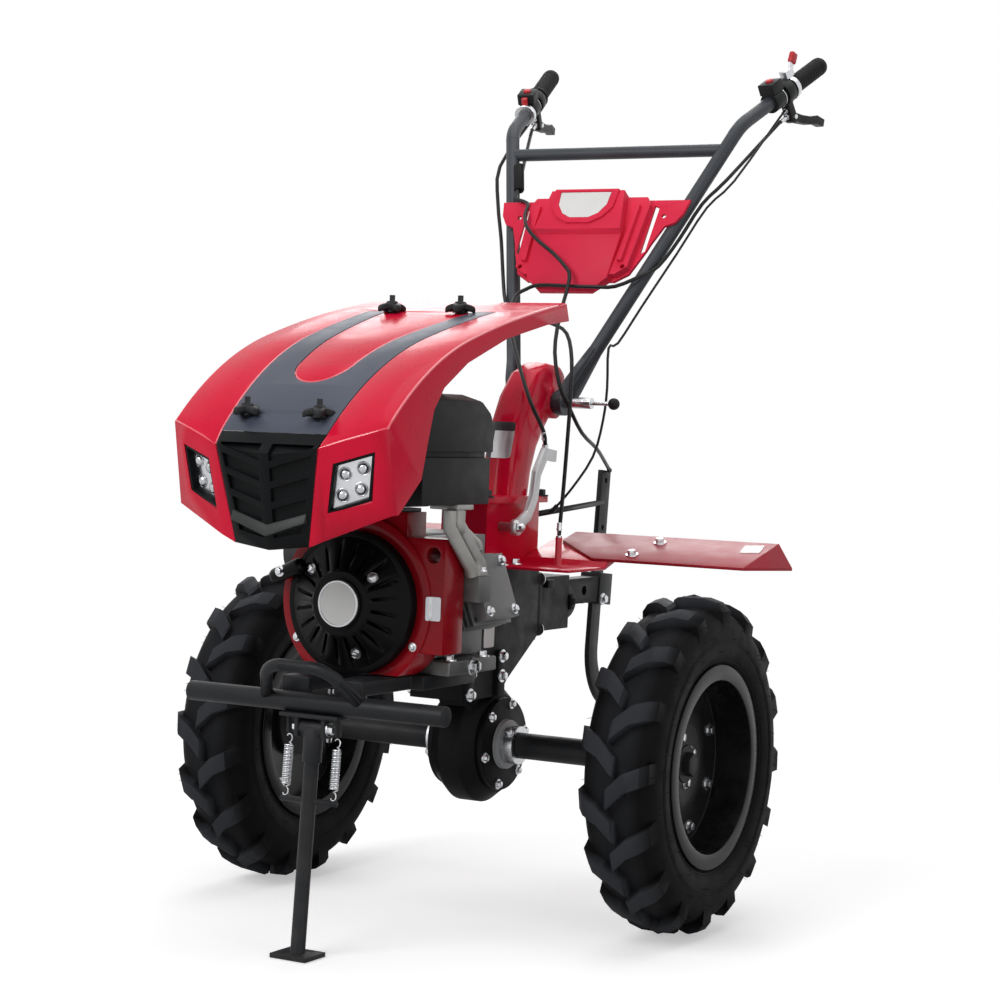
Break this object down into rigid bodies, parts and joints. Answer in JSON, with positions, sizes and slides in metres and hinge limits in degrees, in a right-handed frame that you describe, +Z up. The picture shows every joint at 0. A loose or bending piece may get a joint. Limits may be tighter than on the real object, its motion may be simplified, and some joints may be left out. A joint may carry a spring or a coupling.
{
  "type": "power weeder",
  "caption": "Walk-behind power weeder: hooded engine on lugged wheels, gear case with rear hitch and depth bar, gooseneck handlebar with dash, fenders, bumper and folding front stand.",
  "frame": {"origin": "middle of the footprint's box, on the ground", "axes": "+Z up, the front with the bonnet faces -Y, +X to the operator's left"},
  "size_m": [0.836, 1.2, 1.327],
  "materials": {
    "red_paint": "bright crimson gloss enamel",
    "fender_paint": "gloss enamel",
    "shroud_paint": "dark red enamel",
    "black_paint": "satin black enamel",
    "case_paint": "black painted casting",
    "handle_paint": "dark grey powder coat",
    "engine_alloy": "cast, as made",
    "black_plastic": "moulded, fine grain",
    "panel_plastic": "satin moulded",
    "lamp_plastic": "clear and silvered",
    "zinc": "zinc plated",
    "grip_rubber": "ribbed",
    "cable_sheath": "smooth sheath",
    "tyre_rubber": "moulded lugs"
  },
  "bodies": {
    "chassis": {"gearbox_case": "case_paint", "axle_covers": "case_paint", "clutch_housing": "case_paint", "pto_housing": "case_paint", "hitch_bracket": "black_paint", "depth_bar": "black_paint", "engine_bed": "black_paint", "bumper_bar": "black_paint", "bumper_hoop": "black_paint", "stand_bracket": "black_paint", "bonnet_brackets": "black_paint", "muffler": "black_paint", "engine_block": "engine_alloy", "cylinder_head": "engine_alloy", "intake": "engine_alloy", "fan_shroud": "shroud_paint", "recoil_starter": "black_plastic", "air_cleaner": "black_plastic", "fuel_tank": "black_plastic", "grille": "black_plastic", "bonnet_knobs": "black_plastic", "bonnet_panel": "panel_plastic", "bonnet_shell": "red_paint", "handle_column": "red_paint", "fender_left": "fender_paint", "fender_right": "fender_paint", "fender_brackets": "fender_paint", "headlamps": "lamp_plastic", "clutch_arm": "zinc", "clamp_lever": "zinc", "cables": "cable_sheath"},
    "wheel_left": {"axle_left": "black_paint", "collar_left": "zinc", "rim_left": "black_paint", "tyre_left": "tyre_rubber"},
    "wheel_right": {"axle_right": "black_paint", "collar_right": "zinc", "rim_right": "black_paint", "tyre_right": "tyre_rubber"},
    "stand": {"stand_leg": "black_paint", "stand_springs": "zinc"},
    "handlebar": {"handle_tube_left": "handle_paint", "handle_tube_right": "handle_paint", "crossbar": "handle_paint", "console": "red_paint", "grips": "grip_rubber", "hand_levers": "black_plastic", "switch_boxes": "black_plastic"}
  },
  "joints": [
    {"name": "wheel_left_spin", "type": "hinge", "parent": "chassis", "child": "wheel_left", "pos_m": [-0.3355, -0.02596, 0.24], "axis": [1, 0, 0], "continuous": true},
    {"name": "wheel_right_spin", "type": "hinge", "parent": "chassis", "child": "wheel_right", "pos_m": [0.3355, -0.02596, 0.24], "axis": [1, 0, 0], "continuous": true},
    {"name": "stand_fold", "type": "hinge", "parent": "chassis", "child": "stand", "pos_m": [0, -0.46196, 0.301], "axis": [1, 0, 0], "range_deg": [0, 85], "deforming": ["stand_springs"]},
    {"name": "handlebar_tilt", "type": "hinge", "parent": "chassis", "child": "handlebar", "pos_m": [0, 0.12404, 0.745], "axis": [1, 0, 0], "range_deg": [-20, 20], "deforming": ["cables"]}
  ]
}
